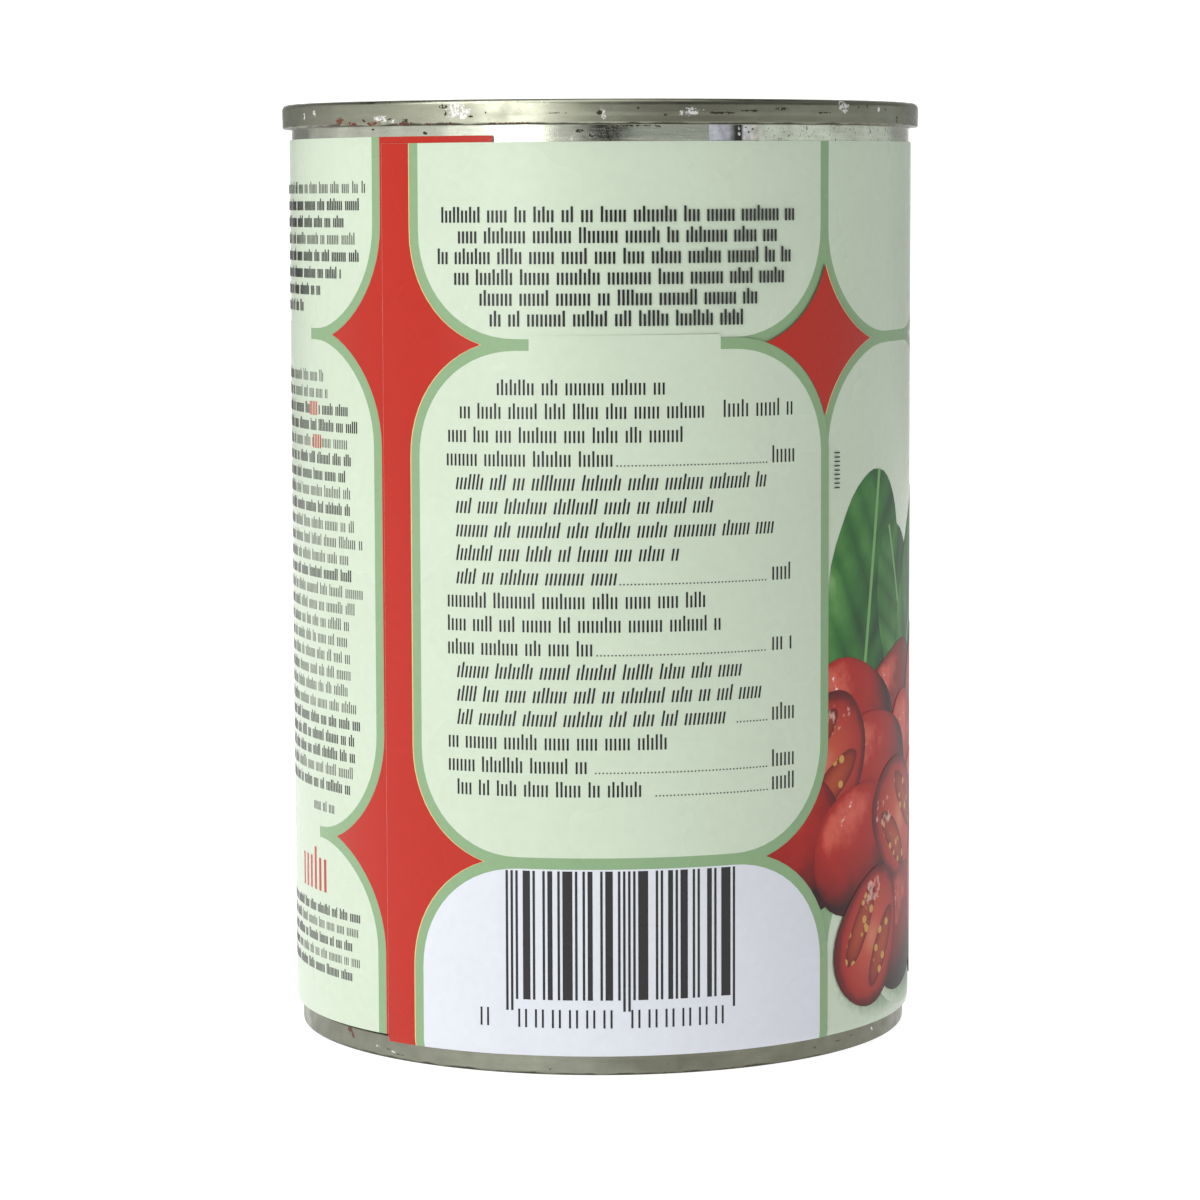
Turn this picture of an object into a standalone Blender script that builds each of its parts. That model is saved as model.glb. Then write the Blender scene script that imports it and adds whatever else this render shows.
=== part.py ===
"""A shut tin of tomatoes: a three-piece tinplate can with a wrap-round paper label.

Metres, +Z up. The origin is the middle of the foot ring, on the surface that the tin stands on,
and the label's front faces -Y. The can's body is filled, so it is one solid. Each end is a
pressed sheet whose rim is rolled over the body's edge in a double seam. The lower end is narrower,
so that one tin stacks in the top of another.
"""

import math

import bmesh
import bpy

MM = 0.001

# Driving dimensions, in millimetres.
HEIGHT = 110.0
BODY_RADIUS = 36.8
TOP_SEAM_RADIUS = 37.9
TOP_SEAM_HEIGHT = 2.85
FOOT_SEAM_RADIUS = 36.45
FOOT_SEAM_HEIGHT = 2.8
NECK_RADIUS = 35.6
NECK_TOP = 6.0

SHEET = 0.2
GAP = 0.3
SEAM_THICKNESS = 1.3
SEAM_HOOK = 0.45
CREASE_LEVEL = 0.6

COUNTERSINK_DEPTH = 5.2
COUNTERSINK_WIDTH = 2.0
PANEL_DEPTH = 4.9
BEAD_HEIGHT = 0.4
BEAD_HALF_WIDTH = 1.6
BEAD_RADII = (14.0, 26.0)

LABEL_RADIUS = 37.05
LABEL_THICKNESS = 0.2
LABEL_BOTTOM = 2.3
LABEL_TUCK_TOP = 3.3
LABEL_TUCK = 0.3
LABEL_TOP = 105.2
LAP_START = -27.0
LAP_STEPS = 4
LAP_THICKNESS = 0.1

SEGMENTS = 64


def clear_scene():
    for old in list(bpy.data.objects):
        bpy.data.objects.remove(old, do_unlink=True)


def principled(name, colour, roughness, metallic):
    """A plain finish for one sub-part, with its colour given as linear red, green and blue."""
    material = bpy.data.materials.new(name)
    material.use_nodes = True
    shader = material.node_tree.nodes["Principled BSDF"]
    shader.inputs["Base Color"].default_value = (*colour, 1.0)
    shader.inputs["Roughness"].default_value = roughness
    shader.inputs["Metallic"].default_value = metallic
    return material


def arc(centre, radius, start, end, steps):
    """Points of an arc in (radius, height), from one angle to another in degrees."""
    angles = [math.radians(start + (end - start) * i / steps) for i in range(steps + 1)]
    return [(centre[0] + radius * math.cos(a), centre[1] + radius * math.sin(a)) for a in angles]


def spun(outline, closed=False, start_angle=0.0):
    """A bmesh turned about Z from an outline of (radius, height) points in millimetres."""
    bm = bmesh.new()
    cos, sin = math.cos(start_angle), math.sin(start_angle)
    verts = [bm.verts.new((r * cos * MM, r * sin * MM, z * MM)) for r, z in outline]
    pairs = list(zip(verts, verts[1:]))
    if closed:
        pairs.append((verts[-1], verts[0]))
    edges = [bm.edges.new(pair) for pair in pairs]
    bmesh.ops.spin(
        bm,
        geom=verts + edges,
        cent=(0, 0, 0),
        axis=(0, 0, 1),
        angle=math.tau,
        steps=SEGMENTS,
        use_merge=True,
    )
    bmesh.ops.remove_doubles(bm, verts=bm.verts, dist=1e-7)
    bmesh.ops.recalc_face_normals(bm, faces=bm.faces)
    return bm


def add_object(name, bm, material):
    """Turns a finished bmesh into a named object, shaded smooth between its sharp edges."""
    mesh = bpy.data.meshes.new(name)
    bm.to_mesh(mesh)
    bm.free()
    mesh.materials.append(material)
    mesh.shade_smooth()
    mesh.set_sharp_from_angle(angle=math.radians(35))
    obj = bpy.data.objects.new(name, mesh)
    bpy.context.scene.collection.objects.link(obj)
    return obj


def end_outline(seam_radius, seam_height, wall_outside, corner, skirt_inset):
    """An end's section, as (radius, depth) from the rim plane into the can.

    It runs from the middle of the panel out along the face, over the rolled rim, round the groove
    that holds the body's edge, and back along the hidden side.
    """
    wall = wall_outside - 2 * SHEET - GAP
    panel_edge = wall - COUNTERSINK_WIDTH
    seam_inside = seam_radius - SEAM_THICKNESS
    groove_roof = seam_height - SEAM_HOOK - GAP
    skirt = seam_radius - skirt_inset
    crease = CREASE_LEVEL * seam_height
    lip = 0.2

    face = [(0.0, PANEL_DEPTH)]
    for bead in BEAD_RADII:
        crown = PANEL_DEPTH - BEAD_HEIGHT
        face += [
            (bead - BEAD_HALF_WIDTH, PANEL_DEPTH),
            (bead - BEAD_HALF_WIDTH / 2, crown),
            (bead + BEAD_HALF_WIDTH / 2, crown),
            (bead + BEAD_HALF_WIDTH, PANEL_DEPTH),
        ]
    face += [
        (panel_edge - 2 * BEAD_HALF_WIDTH, PANEL_DEPTH),
        (panel_edge - BEAD_HALF_WIDTH, PANEL_DEPTH - BEAD_HEIGHT),
        (panel_edge - 0.3, PANEL_DEPTH - BEAD_HEIGHT),
        (panel_edge + 0.2, COUNTERSINK_DEPTH),
        (wall - 0.6, COUNTERSINK_DEPTH),
        (wall, COUNTERSINK_DEPTH - 0.8),
        (wall, groove_roof),
        (seam_inside, 0.3),
    ]
    rim = [(seam_inside + 0.3, 0.0)]
    rim += arc((seam_radius - corner, corner), corner, -90, 0, 3)
    rim += [
        (seam_radius, crease),
        (skirt, crease + 0.2),
        (skirt, seam_height - lip),
        (skirt - lip, seam_height),
        (wall_outside + GAP, seam_height),
        (wall_outside + GAP, groove_roof),
    ]
    hidden = [
        (wall + SHEET, groove_roof),
        (wall + SHEET, COUNTERSINK_DEPTH - 0.7),
        (wall - 0.5, COUNTERSINK_DEPTH + SHEET),
        (panel_edge, COUNTERSINK_DEPTH + SHEET),
        (panel_edge - 0.5, PANEL_DEPTH + SHEET),
        (0.0, PANEL_DEPTH + SHEET),
    ]
    return face + rim + hidden


def build_top_end(material):
    """The upper end, pressed from sheet and seamed onto the full-width body."""
    section = end_outline(TOP_SEAM_RADIUS, TOP_SEAM_HEIGHT, BODY_RADIUS, 0.65, 0.05)
    outline = [(r, HEIGHT - depth) for r, depth in section]
    return add_object("top_end", spun(outline), material)


def build_bottom_end(material):
    """The lower end, seamed onto the body's neck. Its rim is the foot that the tin stands on."""
    section = end_outline(FOOT_SEAM_RADIUS, FOOT_SEAM_HEIGHT, NECK_RADIUS, 0.4, 0.25)
    return add_object("bottom_end", spun(section), material)


def build_body(material):
    """The filled body: its wall reaches up and down into the seams, past both ends' panels."""
    end_room = COUNTERSINK_DEPTH + SHEET + GAP
    under_label = LABEL_RADIUS - LABEL_THICKNESS - GAP
    wall_top = HEIGHT - TOP_SEAM_HEIGHT + SEAM_HOOK
    wall_bottom = FOOT_SEAM_HEIGHT - SEAM_HOOK
    band_bottom = LABEL_TOP + GAP
    outline = [
        (0.0, HEIGHT - end_room),
        (BODY_RADIUS - SHEET, HEIGHT - end_room),
        (BODY_RADIUS - SHEET, wall_top),
        (BODY_RADIUS, wall_top),
        (BODY_RADIUS, band_bottom),
        (under_label, band_bottom - GAP),
        (under_label, NECK_TOP),
        (NECK_RADIUS, FOOT_SEAM_HEIGHT + 0.5),
        (NECK_RADIUS, wall_bottom),
        (NECK_RADIUS - SHEET, wall_bottom),
        (NECK_RADIUS - SHEET, end_room),
        (0.0, end_room),
    ]
    return add_object("tin_body", spun(outline), material)


def build_label(material):
    """The paper label: one sheet glued round the body, doubled where its two ends lap."""
    inside = LABEL_RADIUS - LABEL_THICKNESS
    outline = [
        (LABEL_RADIUS, LABEL_TOP),
        (LABEL_RADIUS, LABEL_TUCK_TOP),
        (LABEL_RADIUS - LABEL_TUCK, LABEL_BOTTOM),
        (inside - LABEL_TUCK, LABEL_BOTTOM),
        (inside, LABEL_TUCK_TOP),
        (inside, LABEL_TOP),
    ]
    # The sheet's outer end is cut at LAP_START, measured round the label from its front.
    lap_angle = LAP_START / LABEL_RADIUS - math.pi / 2
    bm = spun(outline, closed=True, start_angle=lap_angle)

    def on_lap(face):
        middle = face.calc_center_median()
        turn = (math.atan2(middle.y, middle.x) - lap_angle) % math.tau
        outer = math.hypot(face.normal.x, face.normal.y) > 0.5 and face.normal.dot(middle) > 0
        return outer and turn < LAP_STEPS * math.tau / SEGMENTS

    covered = [face for face in bm.faces if on_lap(face)]
    lap = bmesh.ops.extrude_face_region(bm, geom=covered)
    raised = [part for part in lap["geom"] if isinstance(part, bmesh.types.BMVert)]
    stretch = 1 + LAP_THICKNESS / LABEL_RADIUS
    bmesh.ops.scale(bm, vec=(stretch, stretch, 1), verts=raised)
    bmesh.ops.delete(bm, geom=covered, context="FACES_KEEP_BOUNDARY")
    bmesh.ops.recalc_face_normals(bm, faces=bm.faces)
    return add_object("paper_label", bm, material)


clear_scene()
tinplate = principled("tinplate", (0.42, 0.42, 0.36), roughness=0.32, metallic=1.0)
body_tinplate = principled("body_tinplate", (0.55, 0.54, 0.46), roughness=0.22, metallic=1.0)
printed_paper = principled("printed_paper", (0.62, 0.78, 0.55), roughness=0.45, metallic=0.0)
build_top_end(tinplate)
build_bottom_end(tinplate)
build_body(body_tinplate)
build_label(printed_paper)
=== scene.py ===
"""Looks of a shut tin of tomatoes: tinplate, double seams, and a paper label with its print."""

import math
import random

import bpy
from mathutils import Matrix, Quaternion, Vector


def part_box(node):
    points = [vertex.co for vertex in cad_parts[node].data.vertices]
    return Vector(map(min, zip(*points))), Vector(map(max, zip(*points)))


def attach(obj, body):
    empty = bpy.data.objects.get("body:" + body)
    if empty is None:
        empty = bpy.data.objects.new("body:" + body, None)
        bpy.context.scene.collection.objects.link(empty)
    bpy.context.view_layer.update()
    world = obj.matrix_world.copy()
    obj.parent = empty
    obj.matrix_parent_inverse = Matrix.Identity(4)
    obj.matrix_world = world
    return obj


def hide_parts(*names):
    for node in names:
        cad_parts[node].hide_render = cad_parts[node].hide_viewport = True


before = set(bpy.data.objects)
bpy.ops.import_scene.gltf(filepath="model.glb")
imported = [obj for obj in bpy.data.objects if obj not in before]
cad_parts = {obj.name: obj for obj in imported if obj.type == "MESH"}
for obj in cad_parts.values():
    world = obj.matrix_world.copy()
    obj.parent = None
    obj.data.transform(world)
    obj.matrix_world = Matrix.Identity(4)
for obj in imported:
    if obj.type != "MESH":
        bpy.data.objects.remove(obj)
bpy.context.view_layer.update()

# The camera stands about half a metre in front of the tin, a little above its middle, and looks
# slightly down on it through a long lens.
camera_data = bpy.data.cameras.new("camera")
camera_data.sensor_width = 36
camera_data.lens = 122.96
camera = bpy.data.objects.new("camera", camera_data)
camera.location = (0, -0.49328, 0.10029)
looking_down, looking_aside, camera_roll = 0.1005, -0.0004, -0.0032
line_of_sight = Vector((
    math.sin(looking_aside) * math.cos(looking_down),
    math.cos(looking_aside) * math.cos(looking_down),
    -math.sin(looking_down),
))
camera.rotation_mode = "QUATERNION"
camera.rotation_quaternion = line_of_sight.to_track_quat("-Z", "Y") @ Quaternion((0, 0, 1), camera_roll)
bpy.context.scene.collection.objects.link(camera)
bpy.context.scene.camera = camera
bpy.context.scene.view_settings.view_transform = "Standard"


# The floor is an opal acrylic table top lit from beneath, so that no shadow falls on it. It is swept
# up into a backdrop behind the tin, and reaches forward under the camera.
def linear(hex_colour):
    """An sRGB colour such as "d9e8d4" as linear red, green, blue and alpha."""
    channels = [int(hex_colour[i : i + 2], 16) / 255 for i in (0, 2, 4)]
    curve = [c / 12.92 if c <= 0.04045 else ((c + 0.055) / 1.055) ** 2.4 for c in channels]
    return (*curve, 1.0)


def new_material(name):
    """An empty material with its Principled shader, and its node tree."""
    material = bpy.data.materials.new(name)
    material.use_nodes = True
    return material, material.node_tree, material.node_tree.nodes["Principled BSDF"]


def plug(tree, node, inputs):
    """Sets a node's inputs, by place or name, to values, or links them from nodes or sockets."""
    for key, value in inputs.items():
        if isinstance(value, bpy.types.Node):
            value = next(socket for socket in value.outputs if socket.enabled)
        if isinstance(value, bpy.types.NodeSocket):
            tree.links.new(value, node.inputs[key])
        else:
            node.inputs[key].default_value = value


def add_node(tree, kind, inputs=(), stops=(), **settings):
    """Adds one node. A ramp's stops are pairs of a position and an sRGB colour."""
    node = tree.nodes.new("ShaderNode" + kind)
    for key, value in settings.items():
        setattr(node, key, value)
    for place, (position, colour) in enumerate(stops):
        elements = node.color_ramp.elements
        stop = elements[place] if place < 2 else elements.new(position)
        stop.position, stop.color = position, linear(colour)
    plug(tree, node, inputs if isinstance(inputs, dict) else dict(enumerate(inputs)))
    return node


table_acrylic, _, floor_shader = new_material("table_acrylic")
floor_shader.inputs["Base Color"].default_value = linear("a0a0a0")
floor_shader.inputs["Roughness"].default_value = 0.9
floor_shader.inputs["Emission Color"].default_value = linear("ffffff")
floor_shader.inputs["Emission Strength"].default_value = 0.93
bpy.ops.object.select_all(action="DESELECT")
bpy.ops.mesh.primitive_plane_add(size=1)
floor = bpy.context.object
floor.name = "floor"
floor.scale = (1.6, 3.72, 1)
floor.location = (0, 0.66, 0)
bpy.ops.object.transform_apply(location=True, scale=True)
bpy.ops.object.mode_set(mode="EDIT")
bpy.ops.mesh.select_mode(type="EDGE")
bpy.ops.mesh.select_all(action="DESELECT")
bpy.ops.object.mode_set(mode="OBJECT")
for edge in floor.data.edges:
    edge.select = all(floor.data.vertices[v].co.y > 2 for v in edge.vertices)
bpy.ops.object.mode_set(mode="EDIT")
bpy.ops.mesh.extrude_region_move(TRANSFORM_OT_translate={"value": (0, 0, 2.5)})
bpy.ops.object.mode_set(mode="OBJECT")
sweep = floor.modifiers.new("Sweep", "BEVEL")
sweep.width, sweep.segments, sweep.limit_method = 0.8, 24, "ANGLE"
bpy.ops.object.modifier_apply(modifier="Sweep")
bpy.ops.object.shade_smooth()
floor.data.materials.append(table_acrylic)


# Soft studio light: a tall softbox from the front left, and a ring of weaker boxes and cards round
# the tin. The bare metal mirrors them, and the gap where the camera stands. Lamps hang overhead
# and behind, and two grey flags behind the tin darken its edges.
def add_softbox(name, azimuth, elevation, distance, width, height, power, tint=(1, 1, 1)):
    """A soft box lamp aimed at the tin's middle. Azimuth 0 is in front, positive to the right."""
    lamp_data = bpy.data.lights.new(name, "AREA")
    lamp_data.shape = "RECTANGLE"
    lamp_data.size, lamp_data.size_y = width, height
    lamp_data.energy = power
    lamp_data.color = tint
    lamp = bpy.data.objects.new(name, lamp_data)
    turn, tilt = math.radians(azimuth), math.radians(elevation)
    tin_middle = Vector((0, 0, 0.055))
    offset = Vector((
        math.sin(turn) * math.cos(tilt),
        -math.cos(turn) * math.cos(tilt),
        math.sin(tilt),
    ))
    lamp.location = tin_middle + offset * distance
    lamp.rotation_euler = (-offset).to_track_quat("-Z", "Y").to_euler()
    bpy.context.scene.collection.objects.link(lamp)
    return lamp


cool_tint = (0.95, 1.0, 1.0)
add_softbox("key_softbox", -30, 12, 1.3, 0.42, 1.1, 6.0)
add_softbox("fill_softbox", -48, 12, 1.3, 0.42, 1.1, 1.9)
add_softbox("left_softbox", -85, 8, 1.4, 1.5, 1.3, 4.3)
add_softbox("left_rear_softbox", -130, 8, 1.4, 0.9, 1.3, 1.8)
add_softbox("high_left_lamp", -58, 50, 1.5, 0.8, 0.8, 9.5)
add_softbox("front_left_card", -14, 2, 1.4, 0.3, 0.8, 0.4)
add_softbox("front_right_card", 29, 2, 1.6, 1.1, 0.5, 0.6, cool_tint)
add_softbox("right_softbox", 70, 0, 1.5, 1.1, 0.45, 1.15, cool_tint)
add_softbox("right_rear_softbox", 122, 2, 1.5, 1.9, 0.7, 2.5, cool_tint)
add_softbox("high_right_rear_card", 115, 36, 1.5, 1.5, 0.9, 1.4, cool_tint)
add_softbox("high_right_card", 62, 42, 1.5, 1.0, 1.4, 0.9, cool_tint)
add_softbox("top_softbox", 10, 80, 1.3, 1.0, 1.0, 4)
add_softbox("high_front_card", -5, 45, 1.5, 1.6, 0.8, 0.6)
backdrop_lamp = add_softbox("backdrop_lamp", 180, 62, 1.6, 2.0, 1.0, 30)
backdrop_lamp.rotation_euler = Vector((0, 1.0, -0.25)).to_track_quat("-Z", "Y").to_euler()
room = bpy.data.worlds.new("room")
room.use_nodes = True
room.node_tree.nodes["Background"].inputs["Color"].default_value = linear("f4f5f6")
room.node_tree.nodes["Background"].inputs["Strength"].default_value = 0.02
bpy.context.scene.world = room
flags = ((-1, "left_flag", "grey_flag_cloth", "808080"), (1, "right_flag", "pale_flag_cloth", "a8a8a8"))
for side, flag_name, cloth_name, cloth_colour in flags:
    flag_cloth, _, flag_shader = new_material(cloth_name)
    flag_shader.inputs["Base Color"].default_value = linear(cloth_colour)
    flag_shader.inputs["Roughness"].default_value = 0.95
    bpy.ops.mesh.primitive_plane_add(size=1)
    flag = bpy.context.object
    flag.name = flag_name
    flag.rotation_euler = (math.radians(90), 0, 0)
    flag.scale = (0.56, 0.8, 1)
    flag.location = (side * 0.53, 0.8, 0.402)
    bpy.ops.object.transform_apply(location=True, rotation=True, scale=True)
    flag.data.materials.append(flag_cloth)


# The body is a strip of tinplate rolled into a tube and welded down its side. It shows bare in
# the band between the label and the upper seam, with the weld's dark line.
MM = 0.001
TURN_STEPS = 192
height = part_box("top_end")[1][2] / MM
body_radius = 36.8
neck_radius = 35.6
sheet = 0.2
weld_angle = math.radians(24.0)


def activate(piece):
    """Makes a piece the only selected and active object."""
    bpy.ops.object.select_all(action="DESELECT")
    piece.select_set(True)
    bpy.context.view_layer.objects.active = piece


def add_piece(name, points, edges=(), faces=()):
    """A new object from points in millimetres."""
    mesh = bpy.data.meshes.new(name)
    mesh.from_pydata([(x * MM, y * MM, z * MM) for x, y, z in points], edges, faces)
    piece = bpy.data.objects.new(name, mesh)
    bpy.context.scene.collection.objects.link(piece)
    activate(piece)
    return piece


def arc(centre, radius, start, end, steps):
    """Points of an arc in a flat plane, from one angle to another in degrees."""
    angles = [math.radians(start + (end - start) * i / steps) for i in range(steps + 1)]
    return [(centre[0] + radius * math.cos(a), centre[1] + radius * math.sin(a)) for a in angles]


def edit_all():
    """Opens the active piece for editing with all of it selected."""
    bpy.ops.object.mode_set(mode="EDIT")
    bpy.ops.mesh.select_all(action="SELECT")


def spin_section(name, section):
    """Turns a section of (radius, height) points about the tin's axis, as on a lathe."""
    points = [(0, -r, z) for r, z in section]
    piece = add_piece(name, points, [(i, i + 1) for i in range(len(points) - 1)])
    edit_all()
    bpy.ops.mesh.spin(steps=TURN_STEPS, angle=math.tau, center=(0, 0, 0), axis=(0, 0, 1))
    bpy.ops.mesh.select_all(action="SELECT")
    bpy.ops.mesh.remove_doubles(threshold=1e-6)
    bpy.ops.mesh.select_all(action="SELECT")
    bpy.ops.mesh.normals_make_consistent(inside=False)
    bpy.ops.object.mode_set(mode="OBJECT")
    bpy.ops.object.shade_smooth_by_angle(angle=math.radians(40))
    return piece


smooth = {"interpolation_type": "SMOOTHSTEP"}


def spot_mask(tree, place, spots, ragged=1.0, holes=0.0):
    """A mask of ragged spots. Each spot is a place in millimetres and its half sizes."""
    coarse = add_node(tree, "TexNoise", {"Vector": place, "Scale": 1300.0, "Detail": 5.0})
    fine = add_node(tree, "TexNoise", {"Vector": place, "Scale": 4200.0, "Detail": 5.0})
    torn = add_node(tree, "Math", [coarse, fine], operation="ADD")
    total = 0.0
    for x, y, z, wide, tall in spots:
        near = add_node(tree, "Mapping", {
            "Vector": place,
            "Location": (x * MM, y * MM, z * MM),
            "Scale": (wide * MM, wide * MM, tall * MM),
        }, vector_type="TEXTURE")
        far = add_node(tree, "VectorMath", [near], operation="LENGTH")
        rough_far = add_node(tree, "Math", [torn, ragged * 2, far], operation="MULTIPLY_ADD")
        here = add_node(tree, "MapRange", {
            "Value": rough_far, "From Min": 0.95 + 2 * ragged, "From Max": 0.7 + 2 * ragged,
        }, **smooth)
        total = add_node(tree, "Math", [total, here], operation="MAXIMUM")
    if not holes:
        return total
    flakes = add_node(tree, "TexNoise", {"Vector": place, "Scale": 3400.0, "Detail": 3.0})
    solid = add_node(tree, "MapRange", {
        "Value": flakes, "From Min": holes, "From Max": holes + 0.08,
    }, **smooth)
    return add_node(tree, "Math", [total, solid], operation="MULTIPLY")


def round_tin(across, high, radius):
    """A place on the tin's side, from a distance to the right of the front and a height."""
    return (radius * math.sin(across / radius), -radius * math.cos(across / radius), high)


def lay_over(tree, base, colour, value, start, end, most=1.0):
    """Lays one colour softly over another where a value goes from start to end."""
    share = add_node(tree, "MapRange", {
        "Value": value, "From Min": start, "From Max": end, "To Max": most,
    }, **smooth)
    return add_node(tree, "Mix", {0: share, 6: base, 7: colour}, data_type="RGBA")


def tinplate(
    name, colour, roughness, streaks, scuffs=(), rust=(), specks=(),
    worn_from=None, dirt_and_shade_band=None, painted_side_shade=0.0,
):
    """Tinplate: cold-rolled bright steel with a thin coat of tin that dulls to a warm grey.

    Rolling leaves fine streaks. Handling leaves scratches, pale scuffs, dark specks and rust. Spots
    are given as a distance round the tin, a height and half sizes, all on the radius of the piece.
    Painted side shade darkens the right side and far left towards grey. A dark band below a given
    height is part dirt and part painted shade.
    """
    material, tree, shader = new_material(name)
    shader.inputs["Metallic"].default_value = 1.0
    place = add_node(tree, "TexCoord").outputs["Object"]
    across, _, level = add_node(tree, "SeparateXYZ", [place]).outputs
    stretched = add_node(tree, "Mapping", {"Vector": place, "Scale": streaks})
    rolled = add_node(tree, "TexNoise", {
        "Vector": stretched, "Scale": 1.0, "Detail": 6.0, "Roughness": 0.65,
    })
    mottle = add_node(tree, "TexNoise", {"Vector": place, "Scale": 420.0, "Detail": 8.0})
    speckle = add_node(tree, "TexVoronoi", {"Vector": place, "Scale": 1500.0})
    patterns = (
        (speckle, 0.08, 0.15, 0.7, 1.0),
        (mottle, 0.35, 0.72, 1.0, 0.76),
        (rolled, 0.3, 0.7, 0.86, 1.06),
    )
    shade = 1.0
    for pattern, start, end, least, most in patterns:
        tone = add_node(tree, "MapRange", {
            "Value": pattern, "From Min": start, "From Max": end, "To Min": least, "To Max": most,
        })
        shade = add_node(tree, "Math", [shade, tone], operation="MULTIPLY")
    surface = add_node(tree, "Mix", {
        0: shade, 6: (0.10, 0.10, 0.07, 1.0), 7: linear(colour),
    }, data_type="RGBA")
    gloss = add_node(tree, "MapRange", {
        "Value": mottle, "From Min": 0.3, "From Max": 0.75,
        "To Min": roughness - 0.07, "To Max": roughness + 0.12,
    })
    # Painted shade: a dim grey is laid over the piece's right side and its far left, darkening what the
    # metal mirrors there.
    if painted_side_shade:
        for start, end, strength in ((-1.0, 8.0, painted_side_shade), (-21.0, -33.0, painted_side_shade * 0.6)):
            surface = lay_over(tree, surface, linear("5b594a"), across, start * MM, end * MM, strength)
    marks = (
        (scuffs, 1.0, 0.42, "e4e2e0", 0.65),
        (rust, 1.2, 0.38, "63301f", 0.9),
        (specks, 0.9, 0.40, "4a443a", 0.7),
    )
    for spots, ragged, holes, tint, dullness in marks:
        if not spots:
            continue
        marked = spot_mask(tree, place, spots, ragged, holes)
        surface = add_node(tree, "Mix", {0: marked, 6: surface, 7: linear(tint)}, data_type="RGBA")
        gloss = add_node(tree, "Mix", {0: marked, 2: gloss, 3: dullness})
        if spots is rust:
            bare = add_node(tree, "Math", [1.0, marked], operation="SUBTRACT")
            plug(tree, shader, {"Metallic": bare})
    if worn_from is not None:
        worn = add_node(tree, "MapRange", {
            "Value": across, "From Min": worn_from * MM, "From Max": (worn_from + 1.5) * MM,
        })
        pits = add_node(tree, "TexNoise", {"Vector": place, "Scale": 2600.0, "Detail": 2.0})
        pitted = add_node(tree, "MapRange", {
            "Value": pits, "From Min": 0.62, "From Max": 0.70, "To Max": 0.75,
        })
        here = add_node(tree, "Math", [worn, pitted], operation="MULTIPLY")
        surface = add_node(tree, "Mix", {0: here, 6: surface, 7: linear("4c4836")}, data_type="RGBA")
    # Dirt and painted shade: a dark band laid below a given height, along the piece's lowest edge.
    if dirt_and_shade_band:
        darkest_height, clear_height = [(limit + 0.35) * MM for limit in dirt_and_shade_band]
        uneven_level = add_node(tree, "Math", [mottle, 0.0007, level], operation="MULTIPLY_ADD")
        surface = lay_over(tree, surface, linear("3a372c"), uneven_level, clear_height, darkest_height, 0.95)
    grain = add_node(tree, "Bump", {"Strength": 0.25, "Distance": 0.00004, "Height": rolled})
    plug(tree, shader, {"Base Color": surface, "Roughness": gloss, "Normal": grain})
    return material


def marks_at(radius, places):
    """Marks from (distance round from the front, height, half width, half height)."""
    return [(*round_tin(u, z, radius), wide, tall) for u, z, wide, tall in places]


end_room = 5.7
body_top, body_foot = height - 2.4, 2.35
body = spin_section("body_tube", [
    (0, height - end_room),
    (body_radius - sheet, height - end_room),
    (body_radius - sheet, body_top),
    (body_radius, body_top),
    (body_radius, body_top - 1.0),
    (body_radius, height - 3.6),
    (body_radius, height - 6.0),
    (body_radius - 0.25, height - 9.0),
    (body_radius - 0.25, 6.0),
    (neck_radius, 3.3),
    (neck_radius, body_foot),
    (neck_radius - sheet, body_foot),
    (neck_radius - sheet, end_room),
    (0, end_room),
])
body.data.materials.append(tinplate(
    "rolled_tinplate", "dbdfcd", 0.17, (180, 180, 2600), worn_from=17.5,
    scuffs=marks_at(body_radius, [(-3.2, 105.6, 0.25, 0.3)]),
    specks=marks_at(body_radius, [
        (-20.6, 106.3, 0.4, 0.2), (-2.2, 106.4, 0.6, 0.3), (-1.0, 105.9, 0.6, 0.3),
        (0.8, 106.7, 0.5, 0.2), (6.5, 106.9, 0.3, 0.1), (-28.5, 106.8, 0.25, 0.12),
        (3.5, 107.0, 3.4, 0.1),
    ]),
))
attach(body, "root")
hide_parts("tin_body")

# The weld is a lap about a millimetre wide, pressed almost flush. It shows as a dark line in a
# brushed and lacquered stripe, which has a few bright spots and pin holes.
weld_material, weld_tree, weld_shader = new_material("welded_lap")
weld_coordinates = add_node(weld_tree, "TexCoord")
weld_place = weld_coordinates.outputs["Object"]
weld_across = add_node(weld_tree, "SeparateXYZ", [weld_coordinates.outputs["UV"]])
weld_ramp = add_node(weld_tree, "ValToRGB", [weld_across], stops=(
    (0.0, "e4e5ec"), (0.36, "cccdd6"), (0.47, "8a8c8a"), (0.52, "474943"),
    (0.64, "40423c"), (0.68, "e4e5e6"), (0.86, "e6e4de"), (1.0, "dedbcb"),
))
brushed = add_node(weld_tree, "TexNoise", {"Vector": weld_place, "Scale": 1500.0, "Detail": 4.0})
brush_mark = add_node(weld_tree, "MapRange", {
    "Value": brushed, "From Min": 0.3, "From Max": 0.7, "To Min": 0.72, "To Max": 1.12,
})
weld_colour = add_node(weld_tree, "VectorMath", {0: weld_ramp, "Scale": brush_mark}, operation="SCALE")
weld_radius = body_radius + 0.05
weld_line = weld_angle * body_radius + 0.49
weld_marks = (
    ([(0.1, 106.75), (0.1, 106.1)], (0.15, 0.2), 0.7, 0.42, "e8e8e4"),
    ([(0.9, 106.8), (1.3, 106.3), (1.8, 106.6)], (0.14, 0.1), 1.4, 0.0, "54544e"),
)
for places, half_sizes, ragged, holes, mark_colour in weld_marks:
    spots = [(*round_tin(weld_line + x, z, weld_radius), *half_sizes) for x, z in places]
    marked = spot_mask(weld_tree, weld_place, spots, ragged, holes)
    weld_colour = add_node(weld_tree, "Mix", {
        0: marked, 6: weld_colour, 7: linear(mark_colour),
    }, data_type="RGBA")
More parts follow.
